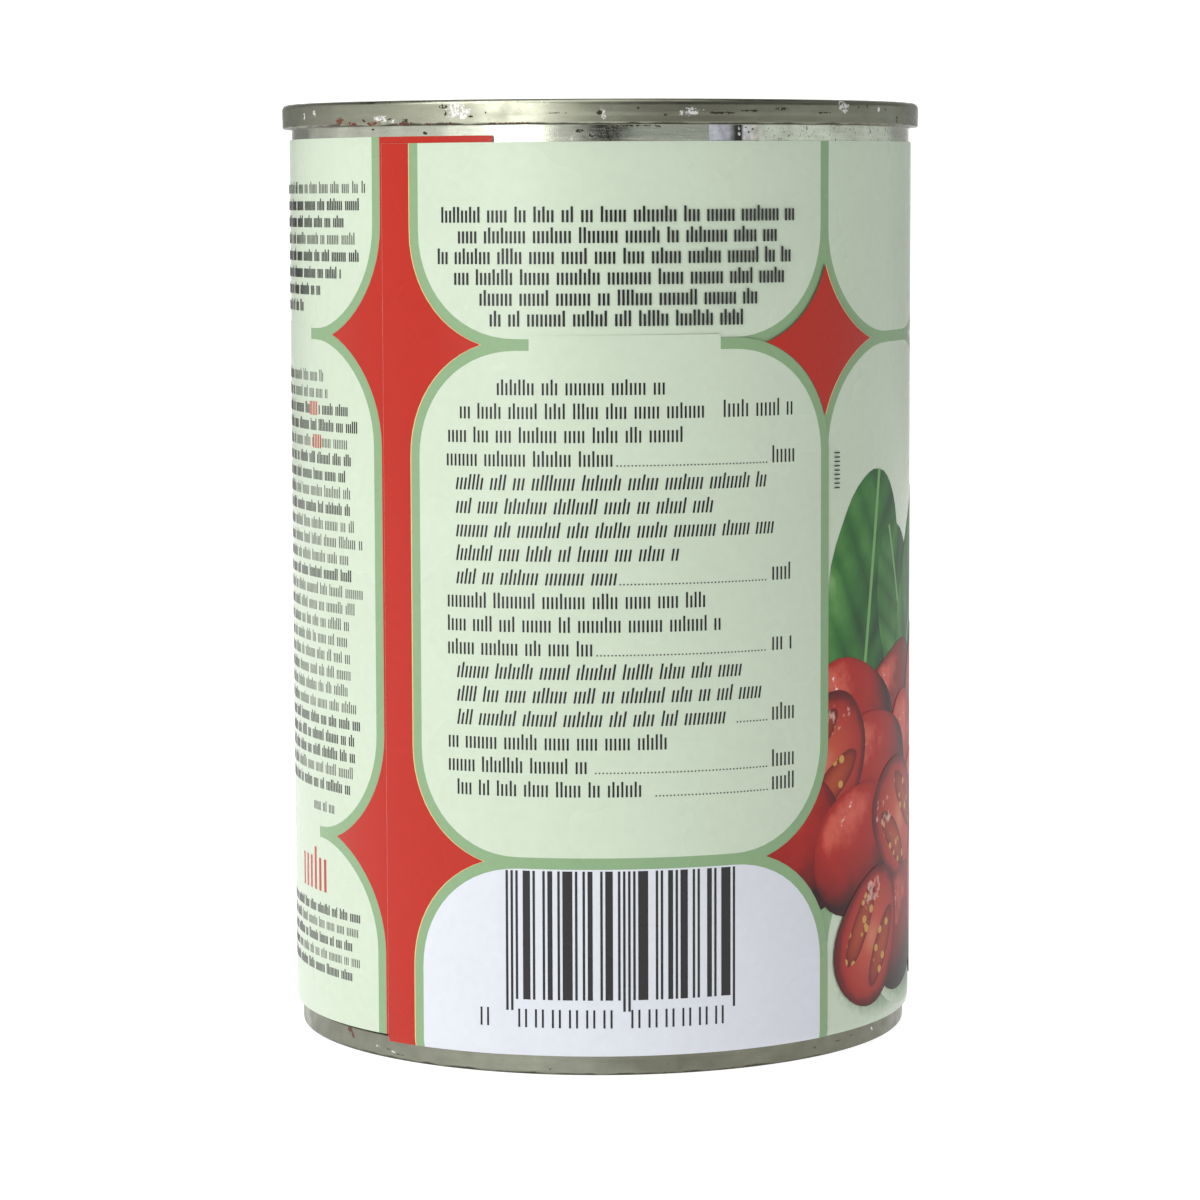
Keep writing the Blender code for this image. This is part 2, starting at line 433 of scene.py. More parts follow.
plug(weld_tree, weld_shader, {"Base Color": weld_colour})
weld_shader.inputs["Metallic"].default_value = 0.85
weld_shader.inputs["Roughness"].default_value = 0.42
weld_width, weld_steps = 6.1, 12
weld_points = []
weld_heights = (height - 5.5, height - 2.9)
for step in range(weld_steps + 1):
    across = weld_angle * body_radius + weld_width * (step / weld_steps - 0.5)
    weld_points += [round_tin(across, z, weld_radius) for z in weld_heights]
weld_faces = [(2 * i, 2 * i + 2, 2 * i + 3, 2 * i + 1) for i in range(weld_steps)]
weld = add_piece("body_weld", weld_points, faces=weld_faces)
weld_map = weld.data.uv_layers.new(name="across")
for loop in weld.data.loops:
    weld_map.data[loop.index].uv = (loop.vertex_index // 2 / weld_steps, loop.vertex_index % 2)
thickness = weld.modifiers.new("Thickness", "SOLIDIFY")
thickness.thickness, thickness.offset = 0.00005, -1
bpy.ops.object.modifier_apply(modifier="Thickness")
bpy.ops.object.shade_smooth_by_angle(angle=math.radians(40))
weld.data.materials.append(weld_material)
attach(weld, "root")


# Each end is a disc pressed from sheet, with a deep groove round its edge and expansion rings in
# its panel. Its rim is rolled together with the body's edge into a double seam.
def end_section(seam_radius, seam_height, wall_outside, corner, skirt_inset):
    """Half of an end's section, as (radius, depth) from the rim plane into the can."""
    countersink, panel, bead_height = 5.2, 4.9, 0.38
    wall = wall_outside - 0.62
    panel_edge = wall_outside - 2.7
    inside = seam_radius - 1.25
    crease = 0.6 * seam_height
    skirt = seam_radius - skirt_inset
    section = [(0.0, panel), (6.0, panel)]
    for bead in (9.0, 14.0, 20.0, 26.0):
        for i in range(9):
            across = bead + 1.5 * (i / 4 - 1)
            rise = bead_height * 0.5 * (1 + math.cos(math.pi * (i / 4 - 1)))
            section.append((across, panel - rise))
    section += [(30.6, panel), (31.4, panel - 0.1), (32.0, panel - 0.32)]
    section.append((panel_edge - 0.7, panel - 0.38))
    section += arc((panel_edge - 0.7, panel + 0.02), 0.4, -90, 0, 4)[1:]
    section += arc((panel_edge + 0.4, countersink - 0.7), 0.7, 180, 90, 4)[1:]
    section += arc((wall - 0.9, countersink - 0.9), 0.9, 90, 8, 5)
    section += [(wall + 0.03, seam_height), (inside, 0.5)]
    section += arc((inside + 0.45, 0.45), 0.45, 190, 270, 6)
    section += arc((seam_radius - corner, corner), corner, 270, 360, 6)
    section += [(seam_radius, corner + 0.12), (seam_radius, crease - 0.3), (seam_radius, crease - 0.2)]
    section += [(seam_radius - skirt_inset * 0.5, crease), (skirt, crease + 0.2)]
    section += [(skirt, crease + 0.3), (skirt, seam_height - 0.35)]
    section += arc((skirt - 0.25, seam_height - 0.25), 0.25, 0, 90, 4)
    section += [(wall_outside + 0.05, seam_height), (wall_outside + 0.05, seam_height - 0.6)]
    section += [(wall + 0.2, seam_height - 0.6), (wall + 0.2, countersink - 0.4)]
    section += [(wall - 0.5, countersink + 0.2), (panel_edge, countersink + 0.2)]
    section += [(panel_edge - 0.6, panel + 0.2), (0.0, panel + 0.2)]
    return section


top_radius, foot_radius = 37.9, 36.45
top_section = end_section(top_radius, 2.85, body_radius, 0.65, 0.02)
top_end = spin_section("top_end_pressing", [(r, height - depth) for r, depth in top_section])
top_scuffs = [
    (-16.6, 108.8, 1.2, 1.0), (-15.6, 108.4, 0.8, 0.7), (0.2, 108.3, 0.5, 0.8),
    (10.1, 108.5, 1.2, 0.5), (30.9, 109.2, 0.9, 0.8), (38.0, 109.0, 0.3, 0.4),
    (-42.7, 108.5, 0.4, 0.35), (-39.8, 108.8, 0.4, 0.4), (-27.0, 107.9, 1.4, 0.4),
    (-25.0, 107.7, 0.6, 0.25),
]
top_rust = [
    (-34.1, 107.7, 0.75, 0.5), (-32.0, 107.4, 1.3, 0.22), (-28.0, 107.45, 1.3, 0.25),
    (-23.3, 107.4, 1.4, 0.2), (-18.5, 107.3, 2.6, 0.16), (-10.0, 107.3, 2.6, 0.14),
]
top_specks = [
    (-29.7, 107.8, 0.4, 0.2), (-25.6, 107.9, 0.7, 0.13), (-23.3, 107.7, 0.5, 0.25),
    (-18.1, 109.2, 0.6, 0.2), (-17.9, 108.5, 0.3, 0.3), (-14.8, 108.1, 0.4, 0.15),
    (-13.0, 108.5, 0.2, 0.16), (-4.6, 108.4, 1.2, 0.07), (0.0, 108.3, 0.4, 0.6),
    (4.2, 108.9, 0.16, 0.22), (7.3, 108.2, 0.2, 0.14), (13.7, 108.4, 1.9, 0.13),
    (17.2, 108.65, 1.7, 0.12), (27.7, 108.5, 1.3, 0.1), (33.6, 109.2, 0.2, 0.3),
    (39.6, 109.0, 0.3, 0.2), (-25.6, 109.8, 0.2, 0.14), (21.4, 108.9, 0.8, 0.2),
    (35.4, 109.3, 0.15, 0.3), (43.0, 107.9, 0.3, 0.4),
]
# The upper seam gets painted side shade, and a dark band of dirt and painted shade along its lower edge.
top_end.data.materials.append(tinplate(
    "seamed_tinplate", "b4b6a2", 0.32, (180, 180, 1500), dirt_and_shade_band=(107.2, 107.45), painted_side_shade=0.55,
    scuffs=marks_at(top_radius, top_scuffs),
    rust=marks_at(top_radius, top_rust),
    specks=marks_at(top_radius, top_specks),
))
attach(top_end, "root")
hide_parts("top_end")

# The lower end is the same pressing, seamed onto the body's narrower neck so that tins stack. Its
# rim is the foot. Its tinplate is painted darker, as painted shade, and a dark band of dirt and
# painted shade runs along its lower edge where it meets the shelf.
bottom_end = spin_section("bottom_end_pressing", end_section(foot_radius, 2.8, neck_radius, 0.4, 0.02))
# Painted shade: the foot's tinplate colour is set darker than the upper seam's.
bottom_end.data.materials.append(tinplate(
    "shaded_foot_tinplate", "8a8c7e", 0.33, (180, 180, 1500), dirt_and_shade_band=(0.12, 0.36), painted_side_shade=0.5,
    scuffs=marks_at(foot_radius, [
        (38.3, 1.5, 0.25, 0.25), (-29.3, 1.2, 0.4, 0.16), (-26.4, 0.9, 0.5, 0.14),
    ]),
    rust=marks_at(foot_radius, [(-34.5, 2.3, 0.55, 0.45), (-33.9, 1.8, 0.3, 0.4)]),
    specks=marks_at(foot_radius, [
        (-27.3, 1.1, 0.45, 0.1), (-25.4, 0.7, 0.7, 0.07), (26.8, 1.2, 0.22, 0.16),
        (30.8, 1.4, 0.6, 0.09), (-10.0, 0.8, 0.12, 0.1), (-6.0, 0.7, 0.12, 0.1),
        (7.5, 1.2, 0.12, 0.09), (33.5, 1.6, 0.5, 0.1),
    ]),
))
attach(bottom_end, "root")
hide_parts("bottom_end")

# The label is one sheet of coated paper, wound round the tin from its outer cut edge, a little
# askew, and glued where its far end runs in under the start.
label_radius = 37.05
label_start, label_end = -27.0, 220.6
label_low, label_high = 2.25, 105.2
paper = 0.1
askew = 0.0033
lap_end, lap_slope = -12.2, 2.5
STRIP = 1.0
INK = 0.012
PICTURE_RISE = 0.14
rise_left, rise_right = (-8, 20), (190, 162)
tuck_top, tuck_depth, tuck_height = 3.3, 0.16, 1.1


def cut_strips(piece, levels=()):
    """Cuts a flat piece into upright strips narrow enough to bend round, and at given heights."""
    low, high = [f(v.co.x for v in piece.data.vertices) / MM for f in (min, max)]
    lines = [k * STRIP for k in range(math.ceil(low / STRIP), math.floor(high / STRIP) + 1)]
    lines += [x for x in (lap_end, lap_end + lap_slope) if low < x < high]
    bpy.ops.object.mode_set(mode="EDIT")
    for x in lines:
        bpy.ops.mesh.select_all(action="SELECT")
        bpy.ops.mesh.bisect(plane_co=(x * MM, 0, 0), plane_no=(1, 0, 0))
    for z in levels:
        bpy.ops.mesh.select_all(action="SELECT")
        bpy.ops.mesh.bisect(plane_co=(0, 0, z * MM), plane_no=(0, 0, 1))
    bpy.ops.object.mode_set(mode="OBJECT")


def eased(position, start, end):
    """A soft step from 0 at one place to 1 at another."""
    part = min(1.0, max(0.0, (position - start) / (end - start)))
    return part * part * (3 - 2 * part)


def wrap_on_tin(piece, level, thick, strips=True, over_picture=False):
    """Sets a flat piece askew, presses it down past the lap, and bends it round the tin.

    The piece is drawn flat in X and Z with its printed side to -Y. Level is how many films of ink
    lie under it. What borders the picture rises gently over the picture's many films.
    """
    activate(piece)
    edit_all()
    bpy.ops.mesh.normals_make_consistent(inside=False)
    bpy.ops.object.mode_set(mode="OBJECT")
    if sum(face.normal.y for face in piece.data.polygons) > 0:
        edit_all()
        bpy.ops.mesh.flip_normals()
        bpy.ops.object.mode_set(mode="OBJECT")
    for vertex in piece.data.vertices:
        vertex.co.z += askew * (vertex.co.x - label_start * MM)
    tuck_rings = (tuck_top, 3.0, 2.7, 2.45)
    lowest = min(v.co.z for v in piece.data.vertices) / MM
    if strips:
        cut_strips(piece, [z for z in tuck_rings if z > lowest])
    for vertex in piece.data.vertices:
        across = vertex.co.x / MM
        rise = level * INK + paper * min(1.0, max(0.0, 1 - (across - lap_end) / lap_slope))
        if over_picture:
            rise += PICTURE_RISE * eased(across, *rise_left) * eased(across, *rise_right)
        vertex.co.y = -rise * MM
    film = piece.modifiers.new("Film", "SOLIDIFY")
    film.thickness, film.offset = thick * MM, -1
    bpy.ops.object.modifier_apply(modifier="Film")
    across = [v.co.x for v in piece.data.vertices]
    bend = piece.modifiers.new("Bend", "SIMPLE_DEFORM")
    bend.deform_method, bend.deform_axis = "BEND", "Z"
    bend.angle = (max(across) - min(across)) / (label_radius * MM)
    bpy.ops.object.modifier_apply(modifier="Bend")
    piece.location.y = -label_radius * MM
    bpy.ops.object.transform_apply(location=True, rotation=False, scale=False)
    for vertex in piece.data.vertices:
        sunk = max(0.0, tuck_top - vertex.co.z / MM)
        squeeze = 1 - tuck_depth * (sunk / tuck_height) ** 1.6 / label_radius
        vertex.co.x *= squeeze
        vertex.co.y *= squeeze
    bpy.ops.object.shade_smooth_by_angle(angle=math.radians(30))


def coated_paper(name, colour):
    """Machine-coated paper or its ink: smooth, faintly mottled where the ink took unevenly."""
    material, tree, shader = new_material(name)
    shader.inputs["Specular IOR Level"].default_value = 0.3
    place = add_node(tree, "TexCoord").outputs["Object"]
    mottle = add_node(tree, "TexNoise", {"Vector": place, "Scale": 900.0, "Detail": 4.0})
    cloud = add_node(tree, "TexNoise", {"Vector": place, "Scale": 60.0, "Detail": 3.0})
    tone = add_node(tree, "MapRange", {
        "Value": add_node(tree, "Math", [mottle, cloud], operation="ADD"),
        "From Min": 0.7, "From Max": 1.3, "To Min": 0.965, "To Max": 1.02,
    })
    tint = add_node(tree, "VectorMath", {0: linear(colour)[:3], "Scale": tone}, operation="SCALE")
    gloss = add_node(tree, "MapRange", {"Value": cloud, "To Min": 0.22, "To Max": 0.32})
    fibre = add_node(tree, "Bump", {"Strength": 0.2, "Distance": 0.00003, "Height": mottle})
    long_waves = add_node(tree, "Mapping", {"Vector": place, "Scale": (70, 70, 22)})
    cockle = add_node(tree, "TexNoise", {"Vector": long_waves, "Scale": 1.0, "Detail": 2.0})
    waves = add_node(tree, "Bump", {
        "Strength": 0.3, "Distance": 0.0005, "Height": cockle, "Normal": fibre,
    })
    plug(tree, shader, {"Base Color": tint, "Roughness": gloss, "Normal": waves})
    return material


label = add_piece("label_sheet", [
    (label_start, 0, label_low),
    (label_end, 0, label_low),
    (label_end, 0, label_high),
    (label_start, 0, label_high),
], faces=[(0, 1, 2, 3)])
wrap_on_tin(label, 0, paper * 0.9)
label.data.materials.append(coated_paper("label_paper", "e8e5da"))
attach(label, "root")
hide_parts("paper_label")

# The print's ground is one flat field of mid green over the whole sheet. It is left showing as
# the lines between the pale panels and round the red diamonds. All print stops a little short of
# the sheet's outer cut edge, where a hair line of bare paper shows.
print_start = label_start + 0.05
LINE = 1.3
CORNER = 12.0
row_lines = (24.3, 82.7)
column_lines = (-22.3, 27.95, 59.7, 120.11, 151.86, 204.8)


def flat_field(outlines, name):
    """One flat piece from closed outlines of (across, height) points, in label millimetres."""
    points, faces = [], []
    for outline in outlines:
        faces.append(tuple(range(len(points), len(points) + len(outline))))
        points += [(x, 0, z) for x, z in outline]
    return add_piece(name, points, faces=faces)


def rectangle(left, right, low, high):
    """A closed outline of four corners."""
    return [(left, low), (right, low), (right, high), (left, high)]


def finish_print(piece, level, material, strips=True, over_picture=False):
    """Turns a flat field into a film of ink on the label."""
    wrap_on_tin(piece, level, INK * 0.9, strips, over_picture)
    piece.data.materials.append(material)
    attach(piece, "root")


mid_green = coated_paper("mid_green_ink", "86a57c")
ground = rectangle(print_start, label_end, label_low + 0.005, label_high - 0.005)
finish_print(flat_field([ground], "print_ground"), 1, mid_green)


# The panels are pale green fields with wide round corners where four of them meet. The one over
# the foot at the front is left white for its bars. The text columns' panels lie over the picture,
# each on a wider field of the mid green.
def panel_outline(left, right, low, high, round_low, round_high, margin=0.0):
    """A panel between four lines. Margin widens it evenly, round its corners too."""
    left, right = left + LINE / 2 - margin, right - LINE / 2 + margin
    low, high = low - margin * round_low, high + margin * round_high
    corners = [(left, low, -180, round_low), (right, low, -90, round_low)]
    corners += [(right, high, 0, round_high), (left, high, 90, round_high)]
    radius = CORNER + margin
    outline = []
    for x, z, start, rounded in corners:
        if rounded:
            centre_x = x + math.copysign(radius, (left + right) / 2 - x)
            centre_z = z + math.copysign(radius, (low + high) / 2 - z)
            outline += arc((centre_x, centre_z), radius, start, start + 90, 14)
        else:
            outline.append((x, z))
    return outline


low_edge, high_edge = label_low + 0.01, label_high - 0.01
rows = [
    (low_edge, row_lines[0] - LINE / 2, False, True),
    (row_lines[0] + LINE / 2, row_lines[1] - LINE / 2, True, True),
    (row_lines[1] + LINE / 2, high_edge, True, False),
]
columns = list(zip(column_lines, column_lines[1:]))
TEXT_COLUMNS = (0, 4)
open_fields, frame_fields, text_fields, white_fields = [], [], [], []
for column, (left, right) in enumerate(columns):
    for row, (low, high, round_low, round_high) in enumerate(rows):
        field = panel_outline(left, right, low, high, round_low, round_high)
        if column in TEXT_COLUMNS and row < 2:
            frame_fields.append(panel_outline(left, right, low, high, round_low, round_high, LINE))
            (white_fields if (column, row) == (0, 0) else text_fields).append(field)
        else:
            open_fields.append(field)
pale_green = coated_paper("pale_green_ink", "c6d3be")
finish_print(flat_field(open_fields, "print_panels"), 2, pale_green)
finish_print(flat_field(frame_fields[::2], "print_low_frames"), 2, mid_green, over_picture=True)
finish_print(flat_field(frame_fields[1::2], "print_tall_frames"), 2.5, mid_green, over_picture=True)
finish_print(flat_field(text_fields, "print_text_panels"), 3.2, pale_green, over_picture=True)
white_panel = flat_field(white_fields, "print_white_panel")
finish_print(white_panel, 3.2, coated_paper("unprinted_white", "d5d8df"), over_picture=True)

# Between two rows of a column the line is left out, so that both panels join. Blunt stubs of it
# stay beside the diamonds.
joins = [(1, -8.1, 13.65), (1, 165.5, 190.6), (0, 165.5, 191.8)]
join_fields = [
    rectangle(left, right, row_lines[row] - LINE / 2 - 0.4, row_lines[row] + LINE / 2 + 0.4)
    for row, left, right in joins
]
finish_print(flat_field(join_fields, "print_joins"), 4, pale_green, over_picture=True)


# A red diamond with hollow sides stands at each crossing. At the sheet's two ends it runs up and
# down into a red bar, which hides the lap. The red plate sat a little to the left, so that a thin
# line of the yellow under it shows on the right, and a dark one where it overlaps the green.
REACH = LINE / 2 + CORNER
HOLLOW = CORNER + LINE
TIP_ANGLE = math.degrees(math.asin(REACH / HOLLOW))
MISFIT = 0.13


def hollow_side(x, z, side_x, side_z, start, end):
    """Part of a diamond's side: an arc about the centre of the panel corner that it faces.

    Angles run from 0, where the arc meets the upright line, to 90, where it meets the level line.
    """
    centre = (x + side_x * REACH, z + side_z * REACH)
    points = arc((0, 0), HOLLOW, start, end, 12)
    return [(centre[0] - side_x * across, centre[1] - side_z * up) for across, up in points]


def diamond(x, z):
    """A diamond's closed outline of four hollow sides, round its middle."""
    outline = []
    for side_x, side_z in ((1, 1), (-1, 1), (-1, -1), (1, -1)):
        ends = (TIP_ANGLE, 90 - TIP_ANGLE)
        start, end = ends if side_x == side_z else reversed(ends)
        outline += hollow_side(x, z, side_x, side_z, start, end)
    return outline


def red_bar(line, far_edge, side):
    """A red bar from a column line to the sheet's end, swelling into half a diamond at each row."""
    inner_edge = line - side * LINE / 2
    outline = [(far_edge, low_edge), (inner_edge, low_edge)]
    for z in row_lines:
        outline += hollow_side(line, z, side, -1, 0, TIP_ANGLE)
        outline += hollow_side(line, z, side, 1, TIP_ANGLE, 0)
    return outline + [(inner_edge, high_edge), (far_edge, high_edge)]


def shifted(outline, across):
    """An outline moved sideways."""
    return [(x + across, z) for x, z in outline]


red_fields = [diamond(column_lines[1], row_lines[1]), diamond(column_lines[4], row_lines[1])]
red_fields.append(red_bar(column_lines[0], print_start, 1))
end_bar = red_bar(column_lines[-1], label_end, -1)
yellow_print = flat_field([shifted(outline, MISFIT) for outline in red_fields], "print_yellow_edges")
finish_print(yellow_print, 2.8, coated_paper("yellow_ink", "dcc585"), over_picture=True)
overlap_print = flat_field([shifted(outline, -MISFIT) for outline in red_fields[:2]], "print_dark_edges")
finish_print(overlap_print, 3.0, coated_paper("overprinted_ink", "6b4a35"), over_picture=True)
red_ink = coated_paper("red_ink", "b22617")
finish_print(flat_field(red_fields + [end_bar], "print_red"), 3.4, red_ink, over_picture=True)
side_diamonds = [diamond(x, row_lines[1]) for x in column_lines[2:4]]
finish_print(flat_field(side_diamonds, "print_pale_diamonds"), 2, pale_green)

# The far side's main panel carries a bare red plate with hollow corners and a thin cream line.
def hollow_plate(left, right, low, high, bite):
    """A rectangle whose corners are bitten out by quarter circles."""
    outline = []
    for x, z, start in ((left, low, 90), (right, low, 180), (right, high, 270), (left, high, 360)):
        outline += arc((x, z), bite, start, start - 90, 10)
    return outline


cream_ink = coated_paper("cream_ink", "e2d9bd")
plate_left, plate_right, plate_low, plate_high = 66.9, 112.9, 66.0, 99.0
plates = [(0.0, 6.0, red_ink), (1.6, 6.4, cream_ink), (2.1, 6.5, red_ink)]
for k, (inset, bite, ink) in enumerate(plates):
    plate = hollow_plate(
        plate_left + inset, plate_right - inset, plate_low + inset, plate_high - inset, bite,
    )
    finish_print(flat_field([plate], f"print_plate_{k + 1}"), 3 + k, ink)

# The bar block is a plain row of dark upright bars, with longer ones at its ends and middle. The
# widths follow a simple rhythm and stand for no number.
BAR_UNIT = 0.285
bar_left, bar_right, bar_foot, guard_foot, bar_top = -11.1, 16.0, 8.7, 7.4, 23.45
bar_rhythm, space_rhythm = (1, 2, 1, 3, 1, 1, 2, 1, 4, 1), (1, 1, 2, 1, 3, 1, 2)
bars, across, count = [], bar_left, 0
while across < bar_right - 2 * BAR_UNIT:
    from_middle = abs(across - (bar_left + bar_right) / 2)
    guard = across < bar_left + 0.9 or from_middle < 0.5 or across > bar_right - 1.2
    wide = BAR_UNIT * (1 if guard else bar_rhythm[count % len(bar_rhythm)])
    bars.append(rectangle(across, across + wide, guard_foot if guard else bar_foot, bar_top))
    across += wide + BAR_UNIT * (1 if guard else space_rhythm[count % len(space_rhythm)])
    count += 1
black_ink = coated_paper("black_ink", "2a282a")
finish_print(flat_field(bars, "print_bars"), 4, black_ink, over_picture=True)


# Small print is set as rows of fine upright ticks, grouped like words. They give the tone of small
# type without a letter.
def tick_row(left, right, base, tick, rng, slant=0.0, weight=0.16):
    """Ticks in groups from left to right. Tick is their height, and the rest follows from it."""
    wide, pitch = weight * tick, 0.37 * tick
    fields, across = [], left
    while across < right - pitch:
        for _ in range(rng.randint(3, 10)):
            if across > right - wide:
                break
            top = tick * rng.choice((1.0, 1.0, 1.0, 1.0, 1.3))
            lean = slant * top
            fields.append([
                (across, base),
                (across + wide, base),
                (across + wide + lean, base + top),
                (across + lean, base + top),
            ])
            across += pitch
        across += 0.5 * tick
    return fields


def dot_leader(left, right, base):
    """A row of fine dots that leads from a row's words to its figure."""
    places = [left + 0.42 * k for k in range(int((right - left) / 0.42))]
    return [rectangle(x, x + 0.16, base, base + 0.16) for x in places]


def add_small_print(name, fields, material):
    """Prints fine marks over all the fields. They are too narrow to need cutting in strips."""
    finish_print(flat_field(fields, name), 4.5, material, strips=False, over_picture=True)


# The front text panel: a bold heading of six centred rows, then a table of eighteen rows. The
# figures on the right are reached by dotted leaders.
type_rng = random.Random(11)
heading_rows = [(-18.5, 23.2), (-16.4, 21.3), (-19.0, 23.9), (-16.9, 21.9), (-13.8, 18.9), (-12.6, 17.4)]
heading = []
for row, (left, right) in enumerate(heading_rows):
    heading += tick_row(left, right, 96.3 - 2.31 * row, 1.35, type_rng, weight=0.2)
add_small_print("print_heading", heading, black_ink)
table_rows = [
    (-11.8, 7.6, None), (-16.3, 13.0, 14.0), (-17.8, 10.3, None), (-18.0, 1.4, 20.2),
    (-16.9, 19.7, None), (-16.9, 12.9, None), (-16.9, 20.6, None), (-16.9, 8.9, None),
    (-16.9, 1.7, 20.2),
    (-18.0, 12.7, None), (-18.0, 14.1, None), (-18.0, -0.9, 20.2),
    (-16.9, 16.1, None), (-16.9, 18.7, None), (-16.9, 15.3, 20.2),
    (-18.0, 8.2, None), (-18.0, -1.1, 20.2), (-16.9, 5.7, 20.2),
]
table = []
for row, (left, right, figure) in enumerate(table_rows):
    base = 77.1 - 2.66 * row
    indented = left == -16.9 and row < 15
    table += tick_row(left, right, base, 1.35, type_rng, 0.16 if indented else 0.0, 0.18)
    if figure:
        table += dot_leader(right + 0.3, figure - 0.3, base)
        table += tick_row(figure, 23.3, base, 1.5, type_rng)
add_small_print("print_table", table, black_ink)
caption_places = [-14.2] + [-9.7 + 1.95 * k for k in range(6)] + [3.2 + 1.95 * k for k in range(6)]
caption = []
for across in caption_places:
    caption.append(rectangle(across, across + 0.24, 5.5, 7.6))
    caption.append(rectangle(across + 0.8, across + 1.04, 5.5, 7.6))
add_small_print("print_bar_caption", caption, black_ink)
code_mark = [rectangle(29.6, 30.5, 65.7 + 0.5 * k, 65.85 + 0.5 * k) for k in range(9)]
add_small_print("print_code_mark", code_mark, black_ink)

# The side text panel has three ragged blocks of smaller rows, and one short red row of tall ticks.
# Rows beside the round corners end early. Two rows carry a small box of red ticks.
side_rows = [(98.9 - 1.95 * k, 1.05) for k in range(8)]
side_rows += [(77.2 - 1.91 * k, 1.05) for k in range(26)]
side_rows += [(14.6 - 1.76 * k, 0.95) for k in range(5)]
row_ends = dict(enumerate((203.0, 202.2, 199.2, 201.2, 201.9, 198.6, 193.4, 188.3, 194.1, 195.1)))
side = []
for row, (base, tick) in enumerate(side_rows):
    bold = type_rng.random() < 0.3
    ragged_end = 202.3 - type_rng.uniform(0.0, 3.4)
    row_end = row_ends.get(row, ragged_end)
    side += tick_row(157.5, row_end, base, tick, type_rng, weight=0.22 if bold else 0.15)
side += tick_row(190.0, 196.0, 26.8, 1.0, type_rng)
add_small_print("print_side_rows", side, black_ink)
box_fields, box_ticks = [], []
for row, left, right in ((10, 189.9, 192.5), (12, 190.9, 193.2)):
    base = side_rows[row][0] - 0.15
    box_fields.append(rectangle(left, right, base, base + 1.6))
    box_ticks += [rectangle(left + 0.5 * k, left + 0.5 * k + 0.28, base, base + 1.6) for k in range(5)]
finish_print(flat_field(box_fields, "print_box_fields"), 5.2, pale_green, over_picture=True)
finish_print(flat_field(box_ticks, "print_box_ticks"), 6.2, red_ink, strips=False, over_picture=True)
add_small_print("print_red_row", tick_row(185.6, 194.6, 17.2, 3.9, type_rng), red_ink)


# The picture is a heap of ripe plum tomatoes, some cut in half, under broad basil leaves. Each is
# one printed shape whose tones follow its own print map, on a soft shadow.
def oval(x, z, half_wide, half_high, turn, taper=0.0, point=0.0, ripple=0.0, square=1.0, uneven=0.0):
    """An outline of one printed shape with a map of it, from -1 to 1 across and along.

    Taper and point narrow its upper end, square fills its corners out, and ripple and uneven
    make its edge wavy or lopsided.
    """
    outline, chart = [], []
    cos, sin = math.cos(math.radians(turn)), math.sin(math.radians(turn))
    for step in range(40):
        angle = math.tau * step / 40
        along = math.copysign(abs(math.sin(angle)) ** square, math.sin(angle))
        across = math.copysign(abs(math.cos(angle)) ** square, math.cos(angle))
        across *= (1 - taper * along) * (1 - point * max(0.0, along) ** 3)
        across *= 1 + ripple * math.sin(9 * angle)
        bulge = 1 + uneven * math.sin(2 * angle + turn) + 0.6 * uneven * math.sin(3 * angle + 2 * turn)
        side, up = across * half_wide * bulge, along * half_high * bulge
        outline.append((x + side * cos - up * sin, z + side * sin + up * cos))
        chart.append((across, along))
    return outline, chart


def turned_chart(chart, turn):
    """A print map turned upright, so that printed light comes from the same side on each fruit."""
    cos, sin = math.cos(math.radians(turn)), math.sin(math.radians(turn))
    return [(x * cos - y * sin, x * sin + y * cos) for x, y in chart]


def wavered(tree, value, place, scale, spread, detail=4.0):
    """A value that noise of a given full spread makes waver."""
    texture = add_node(tree, "TexNoise", {"Vector": place, "Scale": scale, "Detail": detail})
    waver = add_node(tree, "Math", [texture, spread, -spread / 2], operation="MULTIPLY_ADD")
    return add_node(tree, "Math", [value, waver], operation="ADD")


def printed_light(tree, chart):
    """How brightly a printed round fruit is lit from the upper left, and how far out a place is."""
    flat = add_node(tree, "VectorMath", [chart, (1, 1, 0)], operation="MULTIPLY")
    far = add_node(tree, "VectorMath", [flat], operation="LENGTH")
    inward = add_node(tree, "Math", [far, -1.0], operation="MULTIPLY")
    crown = add_node(tree, "Math", [far, inward, 1.0], operation="MULTIPLY_ADD")
    crown = add_node(tree, "Math", [crown, 0.0], operation="MAXIMUM")
    crown = add_node(tree, "Math", [crown], operation="SQRT")
    sideways = add_node(tree, "VectorMath", [flat, (-0.42, 0.55, 0)], operation="DOT_PRODUCT")
    return add_node(tree, "Math", [crown, 0.72, sideways], operation="MULTIPLY_ADD"), far


def offset_ink(name):
    """Four-colour print on the coated sheet: a smooth film with the paper's own slight gloss."""
    material, tree, shader = new_material(name)
    shader.inputs["Roughness"].default_value = 0.45
    shader.inputs["Specular IOR Level"].default_value = 0.3
    coordinates = add_node(tree, "TexCoord")
    return material, tree, shader, coordinates.outputs["UV"], coordinates.outputs["Object"]


def printed_skin(name, deepest, deep, middle, light):
    """A wet tomato skin in print: deep red at its edge, with ragged pale glints near its top."""
    material, tree, shader, chart, place = offset_ink(name)
    lit, _ = printed_light(tree, chart)
    colour = add_node(tree, "ValToRGB", [wavered(tree, lit, place, 330.0, 0.5, 6.0)], stops=(
        (0.0, deepest), (0.25, deep), (0.55, middle), (0.85, light), (1.0, "cf5645"),
    ))
    sheen = wavered(tree, lit, place, 1100.0, 0.5, 6.0)
    colour = lay_over(tree, colour, linear("d98374"), sheen, 0.94, 1.16, 0.34)
    glint = wavered(tree, lit, place, 1300.0, 0.4)
    colour = lay_over(tree, colour, linear("fbe9e2"), glint, 1.03, 1.09, 0.85)
    plug(tree, shader, {"Base Color": colour})
    return material


